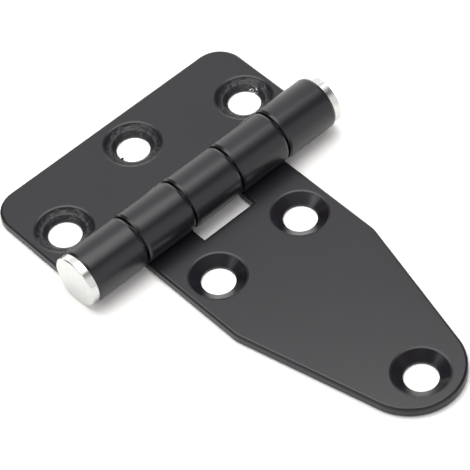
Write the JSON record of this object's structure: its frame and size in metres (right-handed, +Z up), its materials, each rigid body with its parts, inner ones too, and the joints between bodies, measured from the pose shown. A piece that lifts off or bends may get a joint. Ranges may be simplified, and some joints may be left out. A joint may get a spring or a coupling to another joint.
{
  "type": "tee hinge",
  "caption": "Black coated steel tee hinge: rectangular frame leaf and tapered strap leaf joined by interleaved rolled knuckles on a bright headed pin.",
  "frame": {"origin": "on the mounting plane (the undersides of both leaves), under the middle of the pin's length", "axes": "+X along the pin, +Y from the pin towards the rectangular frame leaf, +Z up from the mounting plane to the barrel side"},
  "size_m": [0.0632, 0.0933, 0.0109],
  "materials": {
    "black_coat": "satin black powder coat",
    "bright_steel": "bright turned steel"
  },
  "bodies": {
    "frame_side": {"frame_leaf": "black_coat", "hinge_pin": "bright_steel"},
    "strap_side": {"strap_leaf": "black_coat"}
  },
  "joints": [
    {"name": "strap_swing", "type": "hinge", "parent": "frame_side", "child": "strap_side", "pos_m": [0, 0, 0.00545], "axis": [-1, 0, 0], "range_deg": [-100, 190]}
  ]
}
